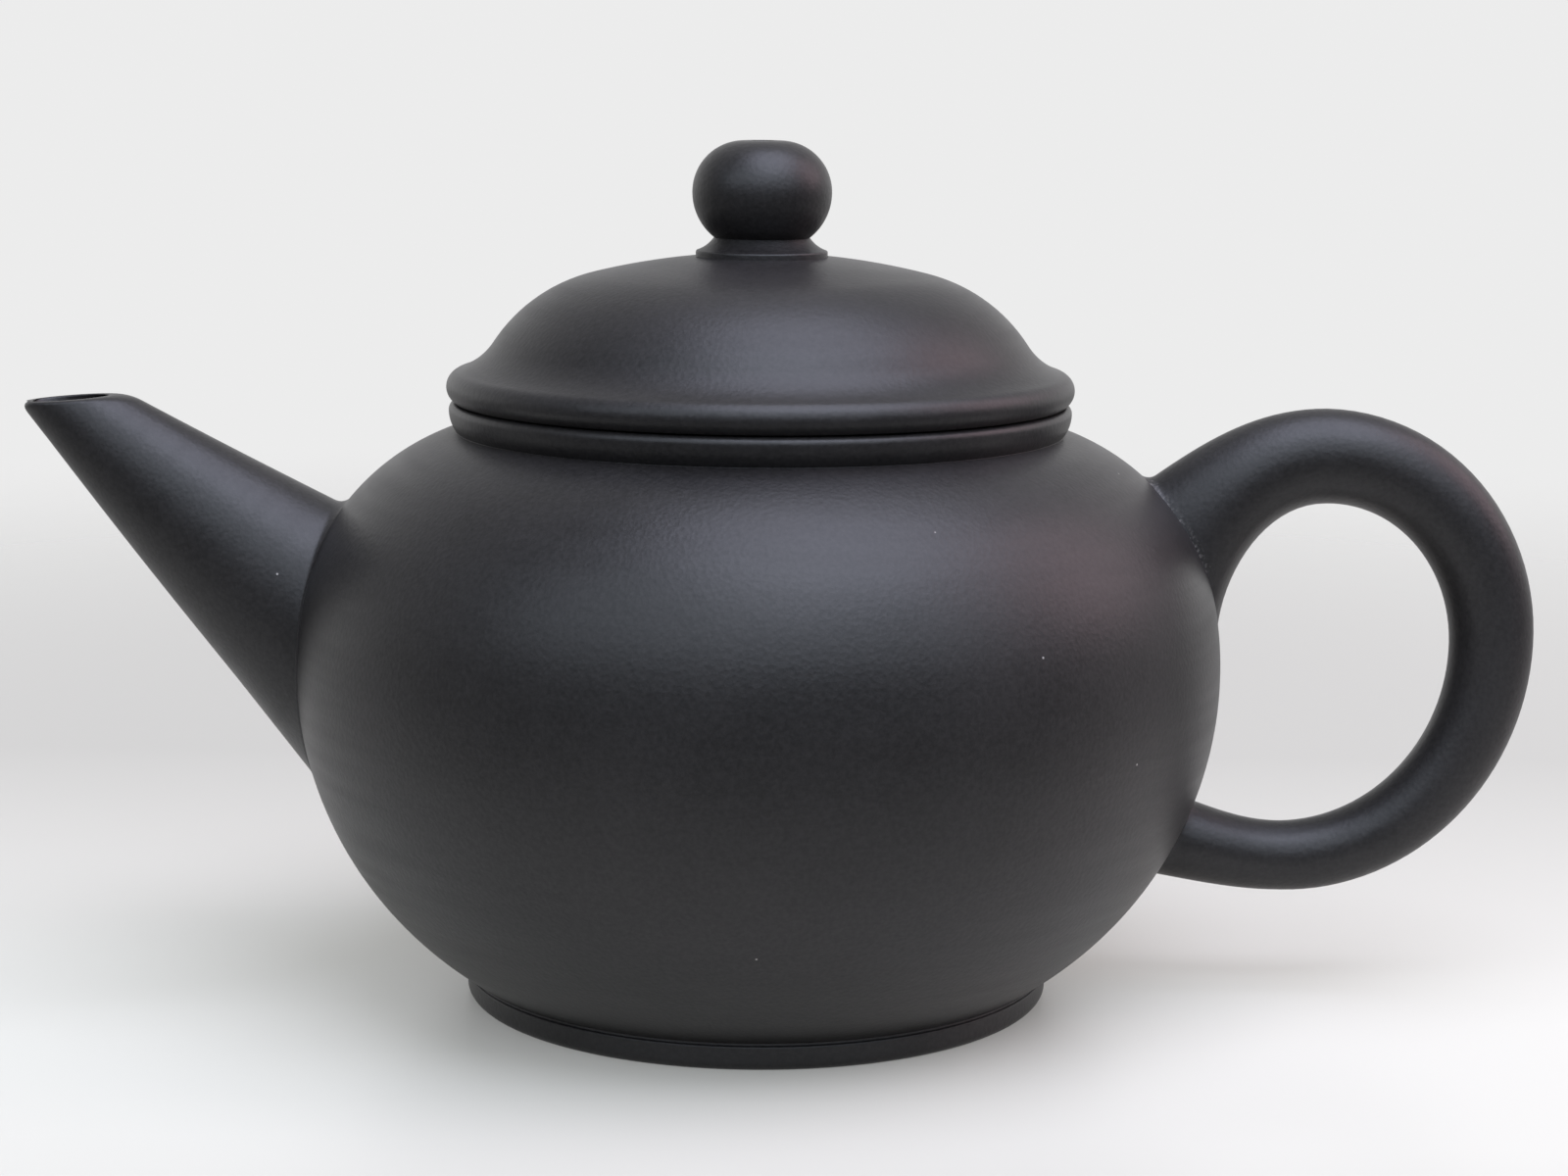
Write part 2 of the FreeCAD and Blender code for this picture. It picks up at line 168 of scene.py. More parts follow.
class HandleSizes(bpy.types.PropertyGroup):
    """The ear handle's centre line and thickness."""
    top_out: length("Top out", "From the belly's widest level to the highest point", 8.5 * MM)
    back_out: length("Back out", "From the belly's widest level to the outermost point", 22.7 * MM)
    low_out: length("Low out", "From the belly's widest level to the lowest point", 5.8 * MM)
    top_drop: length("Top drop", "Centre line below the lid's seat at the top", 4.2 * MM)
    back_height: length("Back height", "Height of the outermost point", 29.7 * MM)
    low_height: length("Low height", "Height of the centre line at the lowest point", 11.5 * MM)
    top_thick: length("Top thickness", "Thickness at the top", 7.8 * MM)
    back_thick: length("Back thickness", "Thickness at the back", 6.85 * MM)
    low_thick: length("Low thickness", "Thickness at the bottom", 5.8 * MM)
    oval: share("Oval", "Width over thickness of the section", 0.98)
    upper_top: length("Upper root top", "Height where the upper root's outer line meets the belly", 43.0 * MM)
    upper_tail: length("Upper root tail", "Height where its tail runs out", 30.0 * MM)
    upper_width: length("Upper root width", "Width of the upper root", 9.2 * MM)
    upper_rise: angle("Upper root rise", "The outer line leaves the belly at this angle", 36.0)
    tail_rise: angle("Tail rise", "The tail leaves the belly at this angle", 90.0)
    lower_top: length("Lower root top", "Height where the lower root's inner line meets the belly", 16.3 * MM)
    lower_bottom: length("Lower root bottom", "Height where its outer line meets the belly", 10.1 * MM)
    lower_width: length("Lower root width", "Width of the lower root", 6.8 * MM)
    lower_fall: angle("Lower root fall", "The outer line meets the belly at this angle", -10.0)
    inner_fall: angle("Inner root fall", "The inner line meets the belly at this angle", -20.0)
    pull: share("Pull", "How far the lines at the roots hold their direction, over their length", 0.36)
    fillet: length("Fillet", "Rounding of the clay smoothed into the joints", 0.8 * MM)
    root_depth: length("Root depth", "How far the ends run into the belly before they are cut", 3.6 * MM)
    upper_dip: angle("Upper dip", "The upper end runs in and down at this angle", 25.0)
    lower_dip: angle("Lower dip", "The lower end runs in and up at this angle", -22.0)
    sides: IntProperty(name="Sides", description="Points round a section", default=72, min=16)
    step: length("Step", "Distance from one section to the next", 0.9 * MM)


class LidSizes(bpy.types.PropertyGroup):
    """The lid with its flange, and the knob on its collar."""
    flange_radius: length("Flange radius", "Outer radius of the flange", high("lid_flange").x)
    hollow_radius: length("Hollow radius", "Radius of the hollow under the lid", 18.6 * MM)
    flange_low: length("Flange end", "Height of the flange's lower edge", low("lid_flange").z)
    flange_round: length("Flange rounding", "Rounding of the flange's edge", 0.8 * MM)
    rim_low: length("Rim low", "Height of the rim's flat underside", low("lid_rim").z)
    rim_top: length("Rim top", "Height of the crease over the rim", high("lid_rim").z)
    rim_out: length("Rim out", "The rim's lower edge, outside the neck's crease", 0.2 * MM)
    rim_bow: length("Rim bow", "How far the rim bulges", 0.66 * MM)
    cove_radius: length("Cove radius", "Radius of the cove over the rim", 5.56 * MM)
    cove_slope: angle("Cove slope", "Slope of the cove at the rim", 16.7)
    shoulder_slope: angle("Shoulder slope", "Slope where the lid's shoulder turns into the cove", 56.7)
    shoulder_radius: length("Shoulder radius", "Radius of the lid's shoulder", 13.25 * MM)
    crown_angle: angle("Crown angle", "Slope where the crown passes into the shoulder", 14.1)
    crown_radius: length("Crown radius", "Radius of the crown", 57.3 * MM)
    thickness: length("Thickness", "Thickness of the dome", 2.9 * MM)
    hollow_round: length("Hollow rounding", "Rounding inside the dome", 4.5 * MM)
    vent_radius: length("Vent radius", "Radius of the vent hole", 1.0 * MM)
    vent_flare: length("Vent flare", "Radius of the vent inside the lid", 2.0 * MM)
    collar_radius: length("Collar radius", "Radius of the knob's seat", high("knob_collar").x)
    collar_low: length("Collar low", "Height of the knob's seat", low("knob_collar").z)
    collar_edge: length("Collar edge", "Height of the seat's upright edge", 0.45 * MM)
    collar_sag: length("Collar sag", "Depth of the hollow flare", 0.12 * MM)
    knob_low: length("Knob low", "Height of the knob's neck", low("knob").z)
    knob_top: length("Knob top", "Height of the knob", high("knob").z)
    knob_radius: length("Knob radius", "Radius of the knob", high("knob").x)
    knob_low_round: length("Knob lower rounding", "Radius of the knob's lower arc", 4.65 * MM)
    knob_top_round: length("Knob upper rounding", "Radius of the knob's upper arc", 4.15 * MM)
    knob_sink: length("Knob sink", "How far the knob's collar reaches into the lid", 0.3 * MM)
    edge_round: length("Edge rounding", "Rounding of the vent's and the collar's edges", 0.2 * MM)


class ClayFinish(bpy.types.PropertyGroup):
    """The dark burnished clay."""
    clay: colour("Clay", "Main colour of the burnished clay", (0.0215, 0.0196, 0.0195))
    clay_dark: colour("Dark clay", "Darker grains", (0.0088, 0.0081, 0.0081))
    clay_raw: colour("Raw clay", "Unburnished clay inside", (0.030, 0.027, 0.026))
    dust: colour("Dust", "Pale specks of dust", (0.36, 0.34, 0.32))
    slip: colour("Slip", "Dry crumbs of slip at the handle's upper joint", (0.12, 0.11, 0.105))
    roughness: share("Roughness", "Roughness of the burnished skin", 0.42)
    raw_roughness: share("Raw roughness", "Roughness of the raw clay", 0.7)
    sheen_play: share("Sheen play", "How far the roughness strays to either side", 0.05)
    refraction: share("Refraction", "Index of refraction, which sets the sheen", 1.45)
    mottle: span("Mottle", "Grain and cloud together, from all clay to all dark clay", (0.3, 1.7))
    grain_bump: share("Grain bump", "Strength of the grain on burnished clay", 0.4)
    raw_bump: share("Raw bump", "Strength of the grain on raw clay", 0.6)
    grain_depth: length("Grain depth", "Height of the grain", 0.03 * MM)
    burnish_bump: share("Burnish bump", "Strength of the burnishing tool's marks", 0.10)
    burnish_depth: length("Burnish depth", "Height of those marks", 0.05 * MM)


class StageSettings(bpy.types.PropertyGroup):
    """Floor, light and camera."""
    floor: colour("Floor", "Colour of the floor", (0.59, 0.572, 0.50))
    # Painted light: the floor glows, which lifts its shadows and brightens what the clay reflects of it.
    floor_painted_glow: share("Floor glow", "Light that comes up through the white floor", 0.11)
    floor_rough: share("Floor roughness", "Roughness of the floor", 0.35)
    floor_size: length("Floor size", "Side of the floor's plane", 2.4)
    floor_middle: length("Floor middle", "Middle of the floor, behind the pot's axis", 0.08)
    floor_solid: length("Floor solid", "Floor that is fully there, from its middle", 0.06)
    floor_end: length("Floor end", "Where the floor has faded out", 0.30)
    # Painted shade: the floor darkens behind the pot, standing in for the shade there.
    floor_shade_behind: share("Floor behind", "Tone of the floor behind the pot, over its tone under it", 0.60)
    shade_behind_turn: span("Back turn", "Y where the floor begins to darken behind the pot, and where it is dark",
                    (-0.01, 0.09), unit="LENGTH")
    # Painted shade: the floor darkens in front of the pot, which also darkens its reflection low on the
    # belly.
    floor_shade_in_front: share("Floor in front", "Tone of the floor in front, over its tone under the pot", 0.62)
    shade_in_front_turn: span("Front turn", "Y where the floor is dark in front, and where it begins to darken",
                     (-0.12, -0.04), unit="LENGTH")
    background: share("Background", "White that the camera sees", 0.84)
    room_front: share("Room in front", "Dim light of the room in front of the pot", 0.15)
    room_back: share("Room behind", "Light of the white backdrop behind the pot", 1.0)
    room_low: share("Room low", "Light under the backdrop's foot, over the backdrop's", 0.60)
    room_high: share("Room high", "Light over the backdrop, over the backdrop's", 0.58)
    room_turn: span("Room turn", "Y of a direction, from the room in front to the backdrop", (-0.2, 0.7))
    room_foot: span("Room foot", "Z of a direction, from under the backdrop to its foot", (-0.1, 0.0))
    room_head: span("Room head", "Z of a direction, from the backdrop's top to over it", (0.15, 0.55))
    aim_height: length("Aim height", "Height on the axis that the panels face", 0.03)
    camera_out: length("Camera distance", "Camera from the pot's axis, along -Y", 262.9 * MM)
    camera_side: length("Camera side", "Camera to the side, along X", 2.05 * MM)
    camera_height: length("Camera height", "Camera over the floor", 77.9 * MM)
    camera_pitch: angle("Camera pitch", "Tilt down", 9.52)
    camera_roll: angle("Camera roll", "Turn about the view", 0.51)
    camera_lens: FloatProperty(name="Lens", description="Focal length", default=74.0, unit="CAMERA")


def sizes():
    """The property groups of this scene."""
    return bpy.context.scene.teapot


# Outlines in the XZ plane


def at(x, z):
    """A point of an outline, or a step from one point to another."""
    return Vector((x, 0.0, z))


def polar(centre, radius, turn):
    """The point of a circle at an angle from +X towards +Z."""
    return at(centre.x + radius * math.cos(turn), centre.z + radius * math.sin(turn))


def arc(centre, radius, start, end, step=math.radians(3.0)):
    """Points on a circle between two angles, both ends included."""
    count = max(2, math.ceil(abs(end - start) / step))
    return [polar(centre, radius, start + (end - start) * i / count) for i in range(count + 1)]


def short_arc(centre, radius, start, end, count):
    """Points on a circle from one point to another, the short way round."""
    first = math.atan2(start.z - centre.z, start.x - centre.x)
    last = math.atan2(end.z - centre.z, end.x - centre.x)
    turn = (last - first + math.pi) % (2 * math.pi) - math.pi
    return [polar(centre, radius, first + turn * i / count) for i in range(count + 1)]


def bow(start, end, sag, count=14):
    """Points of an arc that bulges by sag to the right of the way from start to end."""
    chord = end - start
    half = chord.length / 2
    right = at(chord.z, -chord.x).normalized()
    radius = (half * half + sag * sag) / (2 * abs(sag))
    centre = (start + end) / 2 - right * (radius * math.copysign(1, sag) - sag)
    return short_arc(centre, radius, start, end, count)


def corner(before, point, after, radius, count=5):
    """Points that round off a corner of an outline."""
    back = (before - point).normalized()
    forth = (after - point).normalized()
    half = back.angle(forth) / 2
    centre = point + (back + forth).normalized() * (radius / math.sin(half))
    start = point + back * (radius / math.tan(half))
    end = point + forth * (radius / math.tan(half))
    return short_arc(centre, radius, start, end, count)


def joined(first, second, radius):
    """Two outlines that meet in a corner, with that corner rounded off."""
    point = first[-1]
    reach = CORNER_REACH * radius
    first = [place for place in first if (place - point).length > reach]
    second = [place for place in second if (place - point).length > reach]
    return first + corner(first[-1], point, second[0], radius) + second


def fillet(beyond, radius):
    """How far a rounding stands off a surface, beyond the surface that it joins."""
    gap = max(0.0, 1.0 - max(0.0, beyond) / radius)
    return radius * (1 - math.sqrt(1 - gap * gap))


def belly_arc(pot):
    """Centre and radius of the arc from the base edge past the widest level."""
    run = pot.belly_radius - pot.base_radius
    rise = pot.belly_height - pot.foot_height
    radius = (run * run + rise * rise) / (2 * run)
    return at(pot.belly_radius - radius, pot.belly_height), radius


def shoulder_arc(pot):
    """Centre and radius of the arc that goes on from the belly to the neck."""
    centre, radius = belly_arc(pot)
    start = polar(centre, radius, pot.shoulder_start)
    normal = polar(at(0, 0), 1, pot.shoulder_start)
    chord = at(pot.neck_radius, pot.neck_height) - start
    bend = -chord.dot(chord) / (2 * chord.dot(normal))
    return start - normal * bend, bend


def rise_angle(centre, radius, height):
    """Angle on a circle at a height."""
    return math.asin((height - centre.z) / radius)


def body_radius(pot, height, inset=0.0):
    """Radius of the pot's skin at a height, or of a surface that lies inset inside it."""
    centre, radius = belly_arc(pot)
    if height > polar(centre, radius - inset, pot.shoulder_start).z:
        centre, radius = shoulder_arc(pot)
    return centre.x + math.sqrt((radius - inset) ** 2 - (height - centre.z) ** 2)


def body_curve(pot, bottom, top, inset=0.0):
    """The pot's outline from one height up to another."""
    belly, belly_bend = belly_arc(pot)
    shoulder, shoulder_bend = shoulder_arc(pot)
    start = rise_angle(belly, belly_bend - inset, bottom)
    end = rise_angle(shoulder, shoulder_bend - inset, top)
    step = math.radians(1.5)
    lower = arc(belly, belly_bend - inset, start, pot.shoulder_start, step)
    return lower + arc(shoulder, shoulder_bend - inset, pot.shoulder_start, end, step)


def spout_line(pot, spout):
    """Where the spout's axis enters the belly, its direction outwards and its length."""
    root = at(-body_radius(pot, spout.entry_height), spout.entry_height)
    tip = at(-(pot.belly_radius + spout.reach), pot.seat_height - spout.mouth_drop)
    return root, (tip - root).normalized(), (tip - root).length


# Modelling by hand


def start_piece(name, add, **options):
    """Adds a primitive with nothing else selected and opens it for editing."""
    bpy.ops.object.select_all(action="DESELECT")
    add(**options)
    piece = bpy.context.object
    piece.name = name
    piece.data.name = name
    bpy.ops.object.transform_apply(location=True, rotation=True, scale=True)
    bpy.ops.object.mode_set(mode="EDIT")
    bpy.ops.mesh.select_mode(type="VERT")
    bpy.ops.mesh.select_all(action="SELECT")
    return piece


def close_piece():
    """Merges doubles, turns the faces outwards and leaves edit mode."""
    bpy.ops.mesh.select_all(action="SELECT")
    bpy.ops.mesh.remove_doubles(threshold=MERGE_DISTANCE)
    bpy.ops.mesh.normals_make_consistent(inside=False)
    bpy.ops.object.mode_set(mode="OBJECT")


def pick(piece, test, kind):
    """Selects the edges or faces of the open piece that pass a test, and nothing else."""
    bpy.ops.mesh.select_all(action="DESELECT")
    bpy.ops.mesh.select_mode(type={"edges": "EDGE", "faces": "FACE"}[kind])
    mesh = bmesh.from_edit_mesh(piece.data)
    for item in getattr(mesh, kind):
        if test(item):
            item.select_set(True)
    mesh.select_flush_mode()
    bmesh.update_edit_mesh(piece.data)


def turned(name, outline, steps):
    """A piece spun about the Z axis from its outline."""
    piece = start_piece(name, bpy.ops.mesh.primitive_plane_add, size=MM)
    bpy.ops.mesh.merge(type="CENTER")
    bpy.ops.transform.translate(value=outline[0])
    for here, there in zip(outline, outline[1:]):
        if (there - here).length > MERGE_DISTANCE:
            bpy.ops.mesh.extrude_vertices_move(TRANSFORM_OT_translate={"value": there - here})
    bpy.ops.mesh.select_all(action="SELECT")
    bpy.ops.mesh.spin(steps=steps, angle=2 * math.pi, center=(0, 0, 0), axis=(0, 0, 1))
    close_piece()
    return piece


def turn_about_y(amount, centre):
    """Turns what is selected about the Y axis, from +Z towards +X."""
    bpy.ops.transform.rotate(value=-amount, orient_axis="Y", center_override=centre)


def add_section(section, last=None):
    """Moves the open loop, or a new loop drawn out of it, to a section.

    A section is its centre, its lean, and half its height and width."""
    centre, lean, tall, wide = section
    if last is None:
        last = (at(0, 0), 0.0, 1.0, 1.0)
    else:
        bpy.ops.mesh.extrude_edges_move(TRANSFORM_OT_translate={"value": (0, 0, 0)})
    old_centre, old_lean, old_tall, old_wide = last
    turn_about_y(-old_lean, old_centre)
    bpy.ops.transform.resize(value=(1, wide / old_wide, tall / old_tall), center_override=old_centre)
    turn_about_y(lean, old_centre)
    bpy.ops.transform.translate(value=centre - old_centre)


def rounded(start, edge, end, count):
    """Points of a curve that leaves start and reaches end along the lines to their shared edge."""
    parts = [i / count for i in range(count + 1)]
    return [start * (1 - t) ** 2 + edge * (2 * t * (1 - t)) + end * t ** 2 for t in parts]


def drawn(name, loops):
    """A closed skin drawn out of a circle, loop by loop, back to the first loop."""
    first = loops[0]
    piece = start_piece(name, bpy.ops.mesh.primitive_circle_add, vertices=len(first), radius=MM)
    mesh = bmesh.from_edit_mesh(piece.data)
    for vertex, place in zip(mesh.verts, first):
        vertex.co = place
    for old, new in zip(loops, loops[1:]):
        bpy.ops.mesh.extrude_edges_move(TRANSFORM_OT_translate={"value": (0, 0, 0)})
        mesh = bmesh.from_edit_mesh(piece.data)
        for vertex in mesh.verts:
            if vertex.select:
                nearest = min(range(len(old)), key=lambda i: (old[i] - vertex.co).length_squared)
                vertex.co = new[nearest]
        bmesh.update_edit_mesh(piece.data)
    close_piece()
    return piece


def closed_sweep(name, sections, sides):
    """A tube through oval sections with both ends filled."""
    piece = start_piece(name, bpy.ops.mesh.primitive_circle_add, vertices=sides, radius=1.0,
                        rotation=(0, math.pi / 2, 0))
    last = None
    for section in sections:
        add_section(section, last)
        last = section
    for centre, lean, _, _ in (sections[0], sections[-1]):
        normal = at(math.cos(lean), -math.sin(lean))
        pick(piece, lambda edge: edge.is_boundary
             and all(abs((v.co - centre).dot(normal)) < FLAT for v in edge.verts), "edges")
        bpy.ops.mesh.edge_face_add()
    close_piece()
    return piece


def alone(piece):
    """Selects a piece and nothing else, and makes it the active one."""
    bpy.ops.object.select_all(action="DESELECT")
    piece.select_set(True)
    bpy.context.view_layer.objects.active = piece


def cut(piece, tool):
    """Takes the tool's volume away from the piece and removes the tool."""
    alone(piece)
    bpy.ops.object.modifier_add(type="BOOLEAN")
    modifier = piece.modifiers[-1]
    modifier.operation = "DIFFERENCE"
    modifier.solver = "EXACT"
    modifier.object = tool
    bpy.ops.object.modifier_apply(modifier=modifier.name)
    bpy.data.objects.remove(tool)


def smooth(piece, degrees=32.0):
    """Shades a piece smooth, but for edges that are sharper than an angle."""
    alone(piece)
    bpy.ops.object.shade_smooth_by_angle(angle=math.radians(degrees))


def use_second_clay(piece, test):
    """Gives the faces that pass a test the piece's second clay."""
    bpy.ops.object.mode_set(mode="EDIT")
    pick(piece, test, "faces")
    piece.active_material_index = 1
    bpy.ops.object.material_slot_assign()
    bpy.ops.object.mode_set(mode="OBJECT")


def belly_core(pot, inset):
    """The full volume of the belly, inset under its skin, to cut what is stuck onto it."""
    top = pot.neck_height - inset
    sides = body_curve(pot, pot.foot_height, top, inset)
    return turned("belly_core", [at(0, pot.foot_height)] + sides + [at(0, top)], pot.steps)


def finish_piece(piece, body, slot, nodes, *materials):
    """Gives a piece its clay and its body, and hides the nodes it stands for."""
    piece.data.materials.clear()
    for material in materials:
        piece.data.materials.append(material)
    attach(piece, body)
    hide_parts(*nodes)


# Clay


def new_group(name, inputs, outputs):
    """A shader node group with value sockets, and its input and output nodes."""
    group = bpy.data.node_groups.new(name, "ShaderNodeTree")
    for label, kind, default in inputs:
        socket = group.interface.new_socket(name=label, in_out="INPUT", socket_type=kind)
        if default is not None:
            socket.default_value = default
    for label, kind in outputs:
        group.interface.new_socket(name=label, in_out="OUTPUT", socket_type=kind)
    return group, group.nodes.new("NodeGroupInput"), group.nodes.new("NodeGroupOutput")


def node(tree, kind, inputs=None, **settings):
    """A node with its settings, and each input set to a value or linked to a socket."""
    made = tree.nodes.new(kind)
    for label, value in settings.items():
        setattr(made, label, value)
    for label, value in (inputs or {}).items():
        socket = made.inputs[label]
        if isinstance(value, bpy.types.NodeSocket):
            tree.links.new(value, socket)
        else:
            socket.default_value = value
    return made


def scaled_range(tree, value, low_in, high_in, low_out=0.0, high_out=1.0):
    """A value carried from one range over to another."""
    ends = {0: value, 1: low_in, 2: high_in, 3: low_out, 4: high_out}
    return node(tree, "ShaderNodeMapRange", ends).outputs[0]


def worked(tree, operation, first, second):
    """Two values put together by a Math node."""
    return node(tree, "ShaderNodeMath", {0: first, 1: second}, operation=operation).outputs[0]


def measured(tree, operation, first, second=(0.0, 0.0, 0.0)):
    """The length of a vector, or the distance between two."""
    return node(tree, "ShaderNodeVectorMath", {0: first, 1: second}, operation=operation).outputs["Value"]


def noise(tree, place, scale, detail, roughness=0.5):
    """Soft random values over a surface."""
    inputs = {"Vector": place, "Scale": scale, "Detail": detail, "Roughness": roughness}
    return node(tree, "ShaderNodeTexNoise", inputs).outputs[0]


def cells(tree, place, density):
    """The surface broken up into cells, so many to a metre."""
    return node(tree, "ShaderNodeTexVoronoi", {"Vector": place, "Scale": density}, feature="F1").outputs


def blended(tree, factor, first, second):
    """One colour mixed into another by a factor."""
    mix = node(tree, "ShaderNodeMix", {0: factor, 6: first, 7: second}, data_type="RGBA")
    return mix.outputs[2]


def rgba(value):
    """A colour with full cover, as a socket takes it."""
    return (*value, 1.0)


def clay_grain_group():
    """Fine sandy grain of the fired clay: a tone, a height for bump, and soft clouds."""
    group, start, end = new_group(
        "Clay grain", [("Position", "NodeSocketVector", None), ("Grain size", "NodeSocketFloat", 0.4 * MM)],
        [("Tone", "NodeSocketFloat"), ("Height", "NodeSocketFloat"), ("Cloud", "NodeSocketFloat")])
    tone_span = (0.35, 0.65)
    place = start.outputs["Position"]
    density = worked(group, "DIVIDE", 1.0, start.outputs["Grain size"])
    fine = noise(group, place, density, detail=4.0, roughness=0.65)
    cloud = noise(group, place, scale=45.0, detail=6.0, roughness=0.62)
    height = worked(group, "ADD", fine, cells(group, place, density)["Distance"])
    group.links.new(scaled_range(group, fine, *tone_span), end.inputs["Tone"])
    group.links.new(height, end.inputs["Height"])
    group.links.new(scaled_range(group, cloud, *NOISE_SPAN), end.inputs["Cloud"])
    return group


def burnish_group():
    """Faint marks of the burnishing tool, drawn out along one direction."""
    group, start, end = new_group(
        "Burnish marks", [("Position", "NodeSocketVector", None)],
        [("Height", "NodeSocketFloat"), ("Polish", "NodeSocketFloat")])
    mark_scale = (60.0, 60.0, 900.0)
    stretched = node(group, "ShaderNodeMapping", {"Vector": start.outputs["Position"], "Scale": mark_scale})
    marks = noise(group, stretched.outputs[0], scale=1.0, detail=3.0, roughness=0.55)
    group.links.new(marks, end.inputs["Height"])
    group.links.new(scaled_range(group, marks, *NOISE_SPAN), end.inputs["Polish"])
    return group


def dust_group():
    """A mask of sparse tiny pale specks."""
    group, start, end = new_group(
        "Dust specks", [("Position", "NodeSocketVector", None), ("Spacing", "NodeSocketFloat", 2.6 * MM),
                        ("Amount", "NodeSocketFloat", 0.12)],
        [("Mask", "NodeSocketFloat")])
    speck_span = (0.022, 0.042)
    density = worked(group, "DIVIDE", 1.0, start.outputs["Spacing"])
    spots = cells(group, start.outputs["Position"], density)
    speck = scaled_range(group, spots["Distance"], *speck_span, 1.0, 0.0)
    chance = node(group, "ShaderNodeSeparateColor", {"Color": spots["Color"]}).outputs[0]
    kept = worked(group, "LESS_THAN", chance, start.outputs["Amount"])
    group.links.new(worked(group, "MULTIPLY", speck, kept), end.inputs["Mask"])
    return group


def slip_group():
    """A mask of the crumbs of slip that are left where a piece is stuck to the belly's shoulder."""
    group, start, end = new_group(
        "Joint slip", [("Position", "NodeSocketVector", None), ("Reach", "NodeSocketFloat", 0.6 * MM),
                       ("Lowest", "NodeSocketFloat", 36.0 * MM)],
        [("Mask", "NodeSocketFloat")])
    crumb_span = (0.50, 0.66)
    centre, radius = shoulder_arc(sizes().pot)
    place = node(group, "ShaderNodeSeparateXYZ", {0: start.outputs["Position"]}).outputs
    flat = node(group, "ShaderNodeCombineXYZ", {0: place["X"], 1: place["Y"]}).outputs[0]
    out = measured(group, "LENGTH", flat)
    point = node(group, "ShaderNodeCombineXYZ", {0: out, 2: place["Z"]}).outputs[0]
    beyond = worked(group, "SUBTRACT", measured(group, "DISTANCE", point, centre), radius)
    near = scaled_range(group, beyond, 0.0, start.outputs["Reach"], 1.0, 0.0)
    above = worked(group, "GREATER_THAN", place["Z"], start.outputs["Lowest"])
    crumbs = noise(group, start.outputs["Position"], scale=3600.0, detail=3.0)
    close = worked(group, "MULTIPLY", near, above)
    mask = worked(group, "MULTIPLY", close, scaled_range(group, crumbs, *crumb_span))
    group.links.new(mask, end.inputs["Mask"])
    return group


def clay_material(name, groups, finish, burnish_turn=(0.0, 0.0, 0.0), raw=False, stuck=False):
    """Dark clay with grain, burnish marks, soft cloudiness and a few specks of dust."""
    material = bpy.data.materials.new(name)
    material.use_nodes = True
    tree = material.node_tree
    shader = tree.nodes["Principled BSDF"]
    place = node(tree, "ShaderNodeTexCoord").outputs["Object"]
    along = node(tree, "ShaderNodeMapping", {"Vector": place, "Rotation": burnish_turn}).outputs[0]

    def effect(key, position):
        return node(tree, "ShaderNodeGroup", {"Position": position}, node_tree=groups[key]).outputs

    grain = effect("grain", place)
    burnish = effect("burnish", along)
    ground = rgba(finish.clay_raw if raw else finish.clay)
    mottle = worked(tree, "ADD", grain["Tone"], grain["Cloud"])
    surface = blended(tree, scaled_range(tree, mottle, *finish.mottle), ground, rgba(finish.clay_dark))
    surface = blended(tree, effect("dust", place)["Mask"], surface, rgba(finish.dust))
    if stuck:
        surface = blended(tree, effect("slip", place)["Mask"], surface, rgba(finish.slip))
    tree.links.new(surface, shader.inputs["Base Color"])
    rough = finish.raw_roughness if raw else finish.roughness
    shine = worked(tree, "ADD", burnish["Polish"], grain["Cloud"])
    most_shine = 2.0
    ends = (rough + finish.sheen_play, rough - finish.sheen_play)
    roughness = scaled_range(tree, shine, 0.0, most_shine, *ends)
    tree.links.new(roughness, shader.inputs["Roughness"])
    marks = node(tree, "ShaderNodeBump", {"Height": burnish["Height"], "Strength": finish.burnish_bump,
                                          "Distance": finish.burnish_depth})
    bump = node(tree, "ShaderNodeBump", {"Height": grain["Height"], "Normal": marks.outputs[0],
                                         "Strength": finish.raw_bump if raw else finish.grain_bump,
                                         "Distance": finish.grain_depth})
    tree.links.new(bump.outputs[0], shader.inputs["Normal"])
    shader.inputs["IOR"].default_value = finish.refraction
    return material


def clay_groups():
    """The shared node groups, built once."""
    makers = {"grain": ("Clay grain", clay_grain_group), "burnish": ("Burnish marks", burnish_group),
              "dust": ("Dust specks", dust_group), "slip": ("Joint slip", slip_group)}
    return {key: bpy.data.node_groups.get(name) or make() for key, (name, make) in makers.items()}


def clay(name, **options):
    """A clay material by name, made when it is first asked for."""
    return bpy.data.materials.get(name) or clay_material(name, clay_groups(), sizes().finish, **options)


# Pieces and stage


